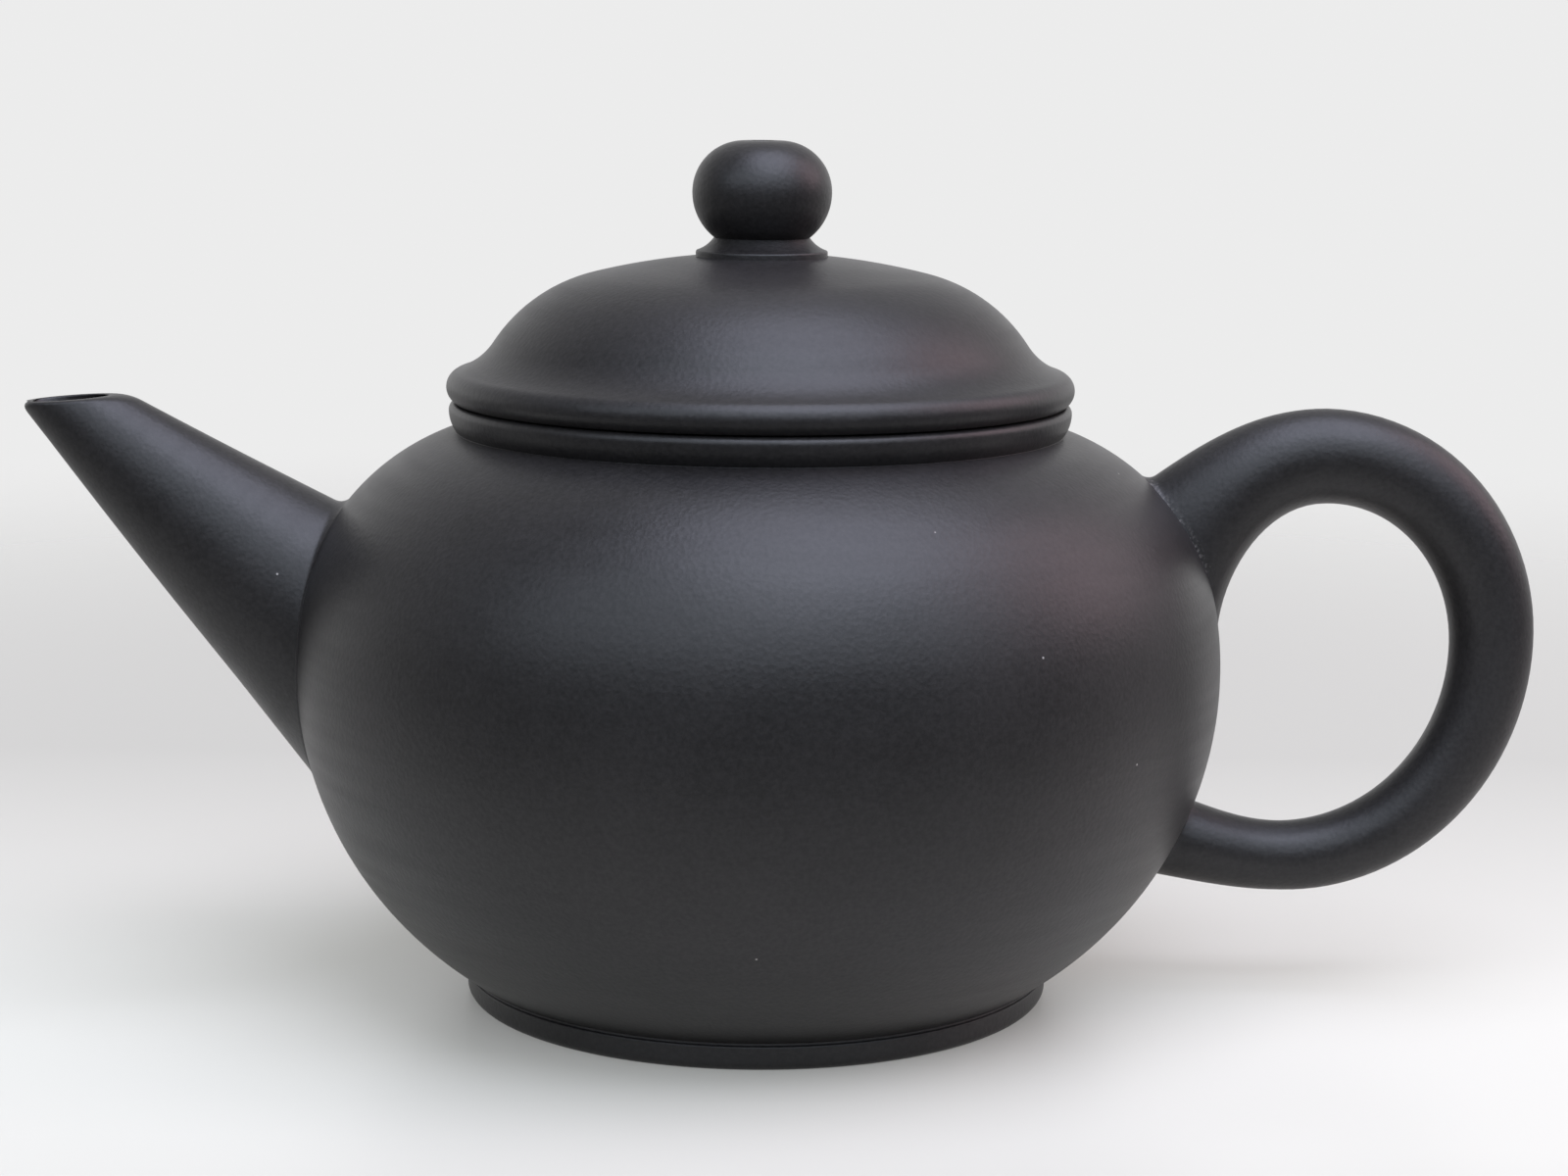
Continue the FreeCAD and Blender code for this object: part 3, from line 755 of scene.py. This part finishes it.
class TEAPOT_OT_pot(bpy.types.Operator):
    """Spins the pot's skin, foot to mouth and back down inside, and pierces it behind the spout"""
    bl_idname = "teapot.pot"
    bl_label = "Pot"

    def execute(self, context):
        pot = sizes().pot
        seat = pot.seat_height - pot.seat_play
        neck_ring = self.neck_ring(pot, seat)
        body = body_curve(pot, pot.foot_height, pot.neck_height)
        outline = joined(self.foot(pot), body, pot.foot_crease)
        outline = joined(outline, neck_ring, pot.crease_round)
        outline += self.hollow(pot, seat, neck_ring[-1])
        piece = turned("pot_skin", outline, pot.steps)
        cut(piece, self.drill(pot, sizes().spout))
        smooth(piece)
        finish_piece(piece, "pot", "pot_clay",
                     ("belly_wall", "base_disc", "foot_ring", "top_disc", "neck_ring"),
                     clay("burnished_body"), clay("raw_inside", raw=True))
        use_second_clay(piece, lambda face: self.is_inside(pot, face.calc_center_median()))
        return {"FINISHED"}

    @staticmethod
    def foot(pot):
        """The outline of the underside and the foot ring, out to the base edge."""
        inner = pot.foot_radius - pot.foot_width
        turn = at(pot.foot_radius - pot.foot_round, pot.foot_round)
        shoulder = at(pot.foot_radius - pot.foot_shoulder, pot.foot_height - pot.foot_shoulder)
        outline = [at(0, pot.foot_height + pot.base_dome)]
        outline += [at(inner / 2, pot.foot_height + pot.base_dome * pot.base_middle)]
        outline += [at(inner, pot.foot_height), at(inner + pot.foot_round, 0)]
        outline += arc(turn, pot.foot_round, -math.pi / 2, 0, step=math.radians(12))
        outline += arc(shoulder, pot.foot_shoulder, 0, math.pi / 2, step=math.radians(18))
        return outline + [at(pot.base_radius, pot.foot_height)]

    @staticmethod
    def hollow(pot, seat, seat_edge):
        """The outline from the seat over the mouth and down the inside to the middle of the floor."""
        joint = at(body_radius(pot, pot.disc_under, pot.wall), pot.disc_under)
        base_edge = at(body_radius(pot, pot.base_top, pot.wall), pot.base_top)
        base_middle = at(0, pot.base_top)
        mouth_edge = at(pot.mouth_radius, seat)
        mouth_low = at(pot.mouth_radius, pot.neck_height - pot.disc_edge)
        inside = body_curve(pot, pot.base_top + pot.base_clear, pot.disc_under, pot.wall)[::-1]
        outline = corner(seat_edge, mouth_edge, mouth_low, pot.mouth_round)
        outline += corner(mouth_edge, mouth_low, joint, pot.mouth_round)
        outline += inside
        outline += corner(inside[-1], base_edge, base_middle, pot.base_fillet)
        return outline + [base_middle]

    @staticmethod
    def drill(pot, spout):
        """The tool that pierces the wall where the strainer sits."""
        root, way, _ = spout_line(pot, spout)
        tool = start_piece("strainer_drill", bpy.ops.mesh.primitive_cylinder_add, vertices=spout.sides,
                           radius=spout.hole_radius, depth=4 * spout.hole_radius,
                           location=root - way * spout.hole_radius,
                           rotation=(0, math.atan2(way.x, way.z), 0))
        close_piece()
        return tool

    @staticmethod
    def neck_ring(pot, seat):
        """The ring's outline: it swells from the crease to its widest line and rounds in to the seat."""
        widest = at(pot.neck_radius + pot.neck_bulge, seat - pot.neck_round)
        rise = widest.z - pot.neck_height
        swell = (pot.neck_bulge ** 2 + rise ** 2) / (2 * pot.neck_bulge)
        side = arc(at(widest.x - swell, widest.z), swell, -math.asin(rise / swell), 0, step=math.radians(4))
        middle = at(widest.x - pot.neck_round, widest.z)
        return side + arc(middle, pot.neck_round, 0, math.pi / 2, step=math.radians(10))

    @staticmethod
    def is_inside(pot, place):
        """Whether a place on the skin is inside the mouth."""
        if not pot.base_top - pot.wall / 4 < place.z < pot.seat_height - pot.mouth_round:
            return False
        skin = body_radius(pot, min(place.z, pot.neck_height))
        return math.hypot(place.x, place.y) < skin - pot.wall / 2


def last_true(below, above, test):
    """Where between two places along a line a test stops being true."""
    for _ in range(HALVINGS):
        middle = (below + above) / 2
        if test(middle):
            below = middle
        else:
            above = middle
    return below


class SpoutLines:
    """Lines up the outside of the spout, over its lip and down its bore."""

    def __init__(self, pot, spout):
        self.pot = pot
        self.spout = spout
        self.root, self.way, self.run = spout_line(pot, spout)
        self.outer = (spout.tip_radius, spout.root_radius)
        self.bore = (spout.tip_radius - spout.tip_wall, spout.root_radius - spout.root_wall)

    def point(self, along, turn, tip_radius, root_radius):
        """A point of a tapering oval tube, so far along its axis and at a turn round it."""
        part = along / self.run
        radius = root_radius + (tip_radius - root_radius) * part
        across = at(self.way.z, -self.way.x)
        side = Vector((0, radius * self.spout.oval * math.sin(turn), 0))
        sag = self.spout.sag * math.sin(math.pi * min(max(part, 0.0), 1.0))
        return self.root + self.way * along + across * (radius * math.cos(turn) - sag) + side

    def mouth_stop(self, turn, tube):
        """How far along the axis a line of a tube reaches the plane of the mouth."""
        mouth = self.root + self.way * self.run
        up = polar(at(0, 0), 1, math.pi / 2 + self.spout.mouth_fall)

        def below(along):
            return (self.point(along, turn, *tube) - mouth).dot(up) < 0
        return last_true(0.0, 2 * self.run, below)

    def belly_stop(self, turn, tube):
        """How far along the axis a line of a tube comes out of the belly."""
        def inside(along):
            place = self.point(along, turn, *tube)
            return math.hypot(place.x, place.y) < body_radius(self.pot, place.z)
        return last_true(-self.spout.past_root, self.run / 2, inside)

    def line(self, turn):
        """Points of the line at a turn round the axis."""
        spout = self.spout
        outer = self.outer
        bore = self.bore
        smear = spout.fillet + (spout.top_fillet - spout.fillet) * max(0.0, math.cos(turn)) ** 2
        lip = spout.lip_round + (spout.tip_round - spout.lip_round) * abs(math.cos(turn)) ** 3
        seam = self.belly_stop(turn, outer)
        outer_stop = self.mouth_stop(turn, outer)
        bore_stop = self.mouth_stop(turn, bore)
        outer_edge = self.point(outer_stop, turn, *outer)
        bore_edge = self.point(bore_stop, turn, *bore)
        inwards = (bore_edge - outer_edge).normalized()
        lip_start = self.point(outer_stop - lip, turn, *outer)
        bore_start = self.point(bore_stop - spout.bore_round, turn, *bore)
        inmost = -spout.past_root
        start = seam + smear
        side_run = outer_stop - lip - start
        bore_run = bore_stop - spout.bore_round - inmost
        made = []
        for along in [inmost] + [seam + smear * (i / FILLET_ROWS) ** 2 for i in range(FILLET_ROWS)]:
            extra = fillet(along - seam, smear)
            made.append(self.point(along, turn, outer[0] + extra, outer[1] + extra))
        made += [self.point(start + side_run * i / SIDE_ROWS, turn, *outer) for i in range(SIDE_ROWS)]
        made += rounded(lip_start, outer_edge, outer_edge + inwards * lip, LIP_ROWS)
        made += rounded(bore_edge - inwards * spout.bore_round, bore_edge, bore_start, BORE_EDGE_ROWS)
        down = reversed(range(BORE_ROWS))
        made += [self.point(inmost + bore_run * i / BORE_ROWS, turn, *bore) for i in down]
        return made


class TEAPOT_OT_spout(bpy.types.Operator):
    """Draws the spout out loop by loop: up the outside, round the lip and back down the bore"""
    bl_idname = "teapot.spout"
    bl_label = "Spout"

    def execute(self, context):
        pot = sizes().pot
        spout = sizes().spout
        shape = SpoutLines(pot, spout)
        lines = [shape.line(2 * math.pi * i / spout.sides) for i in range(spout.sides)]
        loops = list(zip(*lines))
        piece = drawn("spout_skin", loops + loops[:1])
        cut(piece, belly_core(pot, spout.sink))
        smooth(piece, degrees=50.0)
        lean = math.atan2(shape.way.x, shape.way.z)
        finish_piece(piece, "pot", "pot_clay", ("spout",),
                     clay("burnished_spout", burnish_turn=(0, -lean, 0)))
        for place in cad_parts["spout_strainer"].material_slots:
            place.material = clay("raw_inside", raw=True)
        return {"FINISHED"}


class TEAPOT_OT_handle(bpy.types.Operator):
    """Draws the ear handle through its sections and cuts its two roots to the belly"""
    bl_idname = "teapot.handle"
    bl_label = "Handle"

    def execute(self, context):
        pot = sizes().pot
        handle = sizes().handle
        piece = closed_sweep("handle_skin", self.sections(pot, handle), handle.sides)
        cut(piece, belly_core(pot, sizes().spout.sink))
        smooth(piece)
        finish_piece(piece, "pot", "pot_clay", ("handle",),
                     clay("burnished_handle", burnish_turn=(0, math.pi / 2, 0), stuck=True))
        return {"FINISHED"}

    @classmethod
    def sections(cls, pot, handle):
        """The handle's sections, from inside the belly round the loop and back into the belly."""
        top = at(pot.belly_radius + handle.top_out, handle.back_height)
        low_end = at(pot.belly_radius + handle.low_out, handle.back_height)
        back = pot.belly_radius + handle.back_out
        loop = cls.quarter(handle, top, back - top.x, pot.seat_height - handle.top_drop - top.z, math.pi / 2,
                           handle.top_thick, handle.back_thick)
        loop += cls.quarter(handle, low_end, back - low_end.x, low_end.z - handle.low_height, 0.0,
                            handle.back_thick, handle.low_thick)[1:]
        above = cls.blend(pot, handle, (handle.upper_top, handle.upper_tail), handle.upper_width,
                          (handle.upper_rise, handle.tail_rise), loop[0])
        below = cls.blend(pot, handle, (handle.lower_bottom, handle.lower_top), handle.lower_width,
                          (handle.lower_fall, handle.inner_fall), loop[-1])
        lines = [cls.sunk(above[0], handle.upper_dip, handle.root_depth)]
        lines += above + loop + below[::-1]
        lines += [cls.sunk(below[0], handle.lower_dip, handle.root_depth)]
        return cls.ovals(lines)

    @staticmethod
    def quarter(handle, centre, half_x, half_z, start, thick_start, thick_end):
        """Outer point, inner point and width of sections on a quarter of an ellipse, square to it."""
        made = []
        count = round(math.pi / 2 * (half_x + half_z) / 2 / handle.step)
        for i in range(count + 1):
            part = i / count
            turn = start - math.pi / 2 * part
            middle = at(centre.x + half_x * math.cos(turn), centre.z + half_z * math.sin(turn))
            normal = at(half_z * math.cos(turn), half_x * math.sin(turn)).normalized()
            half = (thick_start + (thick_end - thick_start) * part) / 2
            made.append((middle + normal * half, middle - normal * half, 2 * half * handle.oval))
        return made

    @staticmethod
    def blend(pot, handle, heights, width, rises, loop_end):
        """Sections from a root on the belly to an end of the loop, where the handle runs level."""
        def skin(height):
            return at(body_radius(pot, height), height)

        nudge = 0.05
        root = [skin(height) for height in heights]
        past = [height + (height - other) * nudge for height, other in zip(heights, heights[::-1])]
        away = [(skin(height) - place).normalized() for height, place in zip(past, root)]
        run = (loop_end[0] - root[0]).length
        count = round(run / handle.step)
        pace = 3 * handle.pull * run

        def place(k, part):
            reach = (loop_end[k] - root[k]).length * handle.pull
            held = polar(root[k], reach, rises[k])
            level = loop_end[k] - at(reach, 0)
            rest = 1 - part
            bend = (held * rest + level * part) * (3 * rest * part)
            return root[k] * rest ** 3 + bend + loop_end[k] * part ** 3

        made = []
        smear_end = handle.fillet / pace
        parts = [smear_end * (i / FILLET_ROWS) ** 2 for i in range(FILLET_ROWS)]
        parts += [smear_end + (1 - smear_end) * i / count for i in range(count)]
        for part in parts:
            ease = part * part * (3 - 2 * part)
            extra = fillet(part * pace, handle.fillet)
            sides = [place(k, part) + away[k] * extra for k in (0, 1)]
            made.append((*sides, width + (loop_end[2] - width) * ease + 2 * extra))
        return made

    @staticmethod
    def sunk(section, dip, depth):
        """A root's section moved into the belly."""
        move = at(-math.cos(dip), -math.sin(dip)) * depth
        return section[0] + move, section[1] + move, section[2]

    @staticmethod
    def ovals(lines):
        """Centre, lean, half height and half width of each section."""
        made = []
        lean = 0.0
        for outer, inner, width in lines:
            half = (outer - inner) / 2
            raw = math.atan2(half.x, half.z)
            lean = raw + 2 * math.pi * round((lean - raw) / (2 * math.pi))
            made.append((inner + half, lean, half.length, width / 2))
        return made


class TEAPOT_OT_lid(bpy.types.Operator):
    """Spins the lid: dome, cove, rim, flange and the hollow under it, with the vent through its crown"""
    bl_idname = "teapot.lid"
    bl_label = "Lid"

    def execute(self, context):
        pot = sizes().pot
        lid = sizes().lid
        rim_low = lid.rim_low + pot.seat_play
        rim_start = at(pot.neck_radius + lid.rim_out, rim_low)
        rim_edge = at(pot.neck_radius, lid.rim_top)
        dome, crown = self.dome(lid, rim_edge)
        outline = self.flange(lid)
        outline += [at(lid.flange_radius, rim_low)]
        outline += bow(rim_start, rim_edge, lid.rim_bow)
        outline += dome
        outline += self.hollow(lid, crown)
        outline += [outline[0]]
        piece = turned("lid_skin", outline, pot.steps)
        smooth(piece)
        finish_piece(piece, "lid", "lid_clay", ("lid_dome", "lid_rim", "lid_flange"),
                     clay("burnished_lid"), clay("raw_inside", raw=True))
        use_second_clay(piece, lambda face: self.is_under(lid, rim_low, face))
        return {"FINISHED"}

    @staticmethod
    def flange(lid):
        """The flange's outline, from the hollow round its lower edge to its outside."""
        turn = lid.flange_round
        inner = at(lid.hollow_radius + turn, lid.flange_low + turn)
        outer = at(lid.flange_radius - turn, lid.flange_low + turn)
        step = math.radians(12.0)
        outline = [at(lid.hollow_radius, inner.z)]
        outline += arc(inner, turn, math.pi, 1.5 * math.pi, step)
        return outline + arc(outer, turn, -math.pi / 2, 0, step)

    @staticmethod
    def dome(lid, rim_edge):
        """The dome's outline from the rim up to the vent, and the centre of its crown."""
        cove = rim_edge + polar(at(0, 0), lid.cove_radius, math.pi / 2 - lid.cove_slope)
        cove_top = polar(cove, lid.cove_radius, 1.5 * math.pi - lid.shoulder_slope)
        shoulder = polar(cove_top, lid.shoulder_radius, 1.5 * math.pi - lid.shoulder_slope)
        crown_side = polar(shoulder, lid.shoulder_radius, math.pi / 2 - lid.crown_angle)
        crown = at(0, crown_side.z - math.sqrt(lid.crown_radius ** 2 - crown_side.x ** 2))
        crown_start = math.atan2(crown_side.z - crown.z, crown_side.x)
        crown_stop = math.acos(lid.vent_radius / lid.crown_radius)
        outline = arc(cove, lid.cove_radius, 1.5 * math.pi - lid.cove_slope,
                      1.5 * math.pi - lid.shoulder_slope)
        outline += arc(shoulder, lid.shoulder_radius, math.pi / 2 - lid.shoulder_slope,
                       math.pi / 2 - lid.crown_angle)
        outline += arc(crown, lid.crown_radius, crown_start, crown_stop, CROWN_STEP)
        return outline, crown

    @staticmethod
    def hollow(lid, crown):
        """The outline of the hollow, from the vent down to the flange."""
        under = lid.crown_radius - lid.thickness
        reach = under - lid.hollow_round
        run = lid.hollow_radius - lid.hollow_round
        turn = at(run, crown.z + math.sqrt(reach ** 2 - run ** 2))
        turn_end = math.atan2(turn.z - crown.z, turn.x)
        vent = math.acos(lid.vent_flare / under)
        return arc(crown, under, vent, turn_end, CROWN_STEP) + arc(turn, lid.hollow_round, turn_end, 0)

    @staticmethod
    def is_under(lid, rim_low, face):
        """Whether a face belongs to the hollow, the flange or the seat."""
        middle = face.calc_center_median()
        hollow = face.normal.z < FACING_DOWN and math.hypot(middle.x, middle.y) < lid.hollow_radius
        return hollow or middle.z < rim_low + FLAT


class TEAPOT_OT_knob(bpy.types.Operator):
    """Spins the ball knob on its flaring collar, round the vent"""
    bl_idname = "teapot.knob"
    bl_label = "Knob"

    def execute(self, context):
        pot = sizes().pot
        lid = sizes().lid
        middle = lid.knob_top - lid.knob_top_round
        low_centre = at(lid.knob_radius - lid.knob_low_round, middle)
        top_centre = at(lid.knob_radius - lid.knob_top_round, middle)
        low_start = math.asin((middle - lid.knob_low) / lid.knob_low_round)
        neck = polar(low_centre, lid.knob_low_round, -low_start)
        edge = at(lid.collar_radius, lid.collar_low + lid.collar_edge)
        base = at(lid.collar_radius, lid.collar_low - lid.knob_sink)
        vent_low = at(lid.vent_radius, base.z)
        vent_top = at(lid.vent_radius, lid.knob_top)
        outline = [vent_low, base]
        outline += corner(base, edge, neck, lid.edge_round)
        outline += bow(edge + at(-lid.edge_round, lid.edge_round / 2), neck, -lid.collar_sag)
        outline += arc(low_centre, lid.knob_low_round, -low_start, 0)
        outline += arc(top_centre, lid.knob_top_round, 0, math.pi / 2)
        outline += corner(at(top_centre.x, lid.knob_top), vent_top, vent_low, lid.edge_round)
        outline += [vent_low]
        piece = turned("knob_skin", outline, pot.steps // 2)
        smooth(piece)
        finish_piece(piece, "lid", "lid_clay", ("knob", "knob_collar"), clay("burnished_knob"))
        return {"FINISHED"}


# Soft panels of light: name, place, width, height, power in watts and tint
PANELS = (
    ("key_panel", (0.18, -0.16, 0.88), 0.92, 0.92, 9.1, (0.78, 0.81, 1.0)),
    ("front_panel", (0.08, -0.66, 0.60), 0.55, 0.55, 0.55, (0.80, 0.84, 1.0)),
    ("wide_panel", (0.0, -0.56, 0.60), 2.50, 0.80, 8.9, (0.78, 0.87, 1.0)),
    ("warm_panel", (0.80, 0.12, 0.56), 0.75, 0.75, 3.0, (1.0, 0.72, 0.80)),
)


class TEAPOT_OT_stage(bpy.types.Operator):
    """Lays the floor and sets the lights and the camera"""
    bl_idname = "teapot.stage"
    bl_label = "Stage"

    def execute(self, context):
        stage = sizes().stage
        self.lay_floor(stage)
        self.light(context.scene, stage)
        self.aim(context.scene, stage)
        return {"FINISHED"}

    @staticmethod
    def lay_floor(stage):
        """A pale floor with painted shade behind and in front of the pot and a painted glow, that fades into
        the white round it and can't be seen from below.
        """
        floor = start_piece("floor", bpy.ops.mesh.primitive_plane_add, size=stage.floor_size)
        bpy.ops.object.mode_set(mode="OBJECT")
        material = bpy.data.materials.new("floor_white")
        material.use_nodes = True
        tree = material.node_tree
        shader = tree.nodes["Principled BSDF"]
        shader.inputs["Roughness"].default_value = stage.floor_rough
        shader.inputs["Emission Color"].default_value = (1.0, 1.0, 1.0, 1.0)
        # Painted light: the floor's glow.
        shader.inputs["Emission Strength"].default_value = stage.floor_painted_glow
        place = node(tree, "ShaderNodeTexCoord").outputs["Object"]
        depth = node(tree, "ShaderNodeSeparateXYZ", {0: place}).outputs["Y"]
        # Painted shade: the floor's colour darkens behind the pot and in front of it.
        behind = scaled_range(tree, depth, *stage.shade_behind_turn)
        # Painted shade in front of the pot.
        shade_in_front = scaled_range(tree, depth, *stage.shade_in_front_turn, 1.0, 0.0)
        shade_behind_tone = rgba([value * stage.floor_shade_behind for value in stage.floor])
        shade_in_front_tone = rgba([value * stage.floor_shade_in_front for value in stage.floor])
        tone = blended(tree, behind, rgba(stage.floor), shade_behind_tone)
        tree.links.new(blended(tree, shade_in_front, tone, shade_in_front_tone), shader.inputs["Base Color"])
        middle = Vector((0, stage.floor_middle, 0))
        ends = {0: measured(tree, "DISTANCE", place, middle), 1: stage.floor_solid, 2: stage.floor_end}
        fade = node(tree, "ShaderNodeMapRange", ends, interpolation_type="SMOOTHSTEP").outputs[0]
        below = node(tree, "ShaderNodeNewGeometry").outputs["Backfacing"]
        gone = worked(tree, "MAXIMUM", fade, below)
        clear = node(tree, "ShaderNodeBsdfTransparent")
        mixed = node(tree, "ShaderNodeMixShader", {0: gone, 1: shader.outputs[0], 2: clear.outputs[0]})
        tree.links.new(mixed.outputs[0], tree.nodes["Material Output"].inputs["Surface"])
        floor.data.materials.append(material)

    @staticmethod
    def light(scene, stage):
        """White all round for the camera, a dim room with a pale backdrop for the clay, and soft panels."""
        world = bpy.data.worlds.new("studio")
        scene.world = world
        world.use_nodes = True
        tree = world.node_tree
        backdrop = tree.nodes["Background"]
        backdrop.inputs["Color"].default_value = (1.0, 1.0, 1.0, 1.0)
        way = node(tree, "ShaderNodeTexCoord").outputs["Generated"]
        ways = node(tree, "ShaderNodeSeparateXYZ", {0: way}).outputs
        level = scaled_range(tree, ways["Y"], *stage.room_turn, stage.room_front, stage.room_back)
        foot = scaled_range(tree, ways["Z"], *stage.room_foot, stage.room_low, 1.0)
        head = scaled_range(tree, ways["Z"], *stage.room_head, 1.0, stage.room_high)
        room = worked(tree, "MULTIPLY", level, worked(tree, "MULTIPLY", foot, head))
        seen = node(tree, "ShaderNodeLightPath").outputs["Is Camera Ray"]
        strength = node(tree, "ShaderNodeMix", {0: seen, 2: room, 3: stage.background}).outputs[0]
        tree.links.new(strength, backdrop.inputs["Strength"])
        for name, place, width, height, power, tint in PANELS:
            facing = (at(0, stage.aim_height) - Vector(place)).to_track_quat("-Z", "Y").to_euler()
            bpy.ops.object.light_add(type="AREA", location=place, rotation=facing)
            lamp = bpy.context.object
            lamp.name = name
            lamp.data.shape = "ELLIPSE"
            lamp.data.size = width
            lamp.data.size_y = height
            lamp.data.energy = power
            lamp.data.color = tint

    @staticmethod
    def aim(scene, stage):
        """Puts the camera where it shows the pot as the photo does."""
        tilt = Euler((math.pi / 2 - stage.camera_pitch, 0, 0)).to_matrix()
        turn = (tilt @ Matrix.Rotation(stage.camera_roll, 3, "Z")).to_euler()
        place = (stage.camera_side, -stage.camera_out, stage.camera_height)
        bpy.ops.object.camera_add(location=place, rotation=turn)
        camera = bpy.context.object
        camera.data.sensor_fit = "HORIZONTAL"
        camera.data.sensor_width = 36.0
        camera.data.lens = stage.camera_lens
        camera.data.clip_start = 0.01
        scene.camera = camera
        scene.view_settings.view_transform = "Standard"


class Teapot(bpy.types.PropertyGroup):
    """All sizes and colours of the teapot."""
    pot: PointerProperty(type=PotSizes)
    spout: PointerProperty(type=SpoutSizes)
    handle: PointerProperty(type=HandleSizes)
    lid: PointerProperty(type=LidSizes)
    finish: PointerProperty(type=ClayFinish)
    stage: PointerProperty(type=StageSettings)


STEPS = (TEAPOT_OT_pot, TEAPOT_OT_spout, TEAPOT_OT_handle, TEAPOT_OT_lid, TEAPOT_OT_knob, TEAPOT_OT_stage)


class TEAPOT_PT_panel(bpy.types.Panel):
    """Lists the teapot's pieces and sizes"""
    bl_idname = "TEAPOT_PT_panel"
    bl_label = "Clay teapot"
    bl_space_type = "VIEW_3D"
    bl_region_type = "UI"
    bl_category = "Teapot"

    def draw(self, context):
        layout = self.layout
        teapot = context.scene.teapot
        for step in STEPS:
            layout.operator(step.bl_idname)
        for group in (teapot.pot, teapot.spout, teapot.handle, teapot.lid, teapot.finish, teapot.stage):
            box = layout.box()
            for name in group.__annotations__:
                box.prop(group, name)


GROUPS = (PotSizes, SpoutSizes, HandleSizes, LidSizes, ClayFinish, StageSettings, Teapot)
CLASSES = (*GROUPS, *STEPS, TEAPOT_PT_panel)


def register():
    for item in CLASSES:
        bpy.utils.register_class(item)
    bpy.types.Scene.teapot = PointerProperty(type=Teapot)


def unregister():
    del bpy.types.Scene.teapot
    for item in reversed(CLASSES):
        bpy.utils.unregister_class(item)


def main():
    register()
    bpy.ops.teapot.pot()
    bpy.ops.teapot.spout()
    bpy.ops.teapot.handle()
    bpy.ops.teapot.lid()
    bpy.ops.teapot.knob()
    bpy.ops.teapot.stage()


if __name__ == "__main__":
    main()
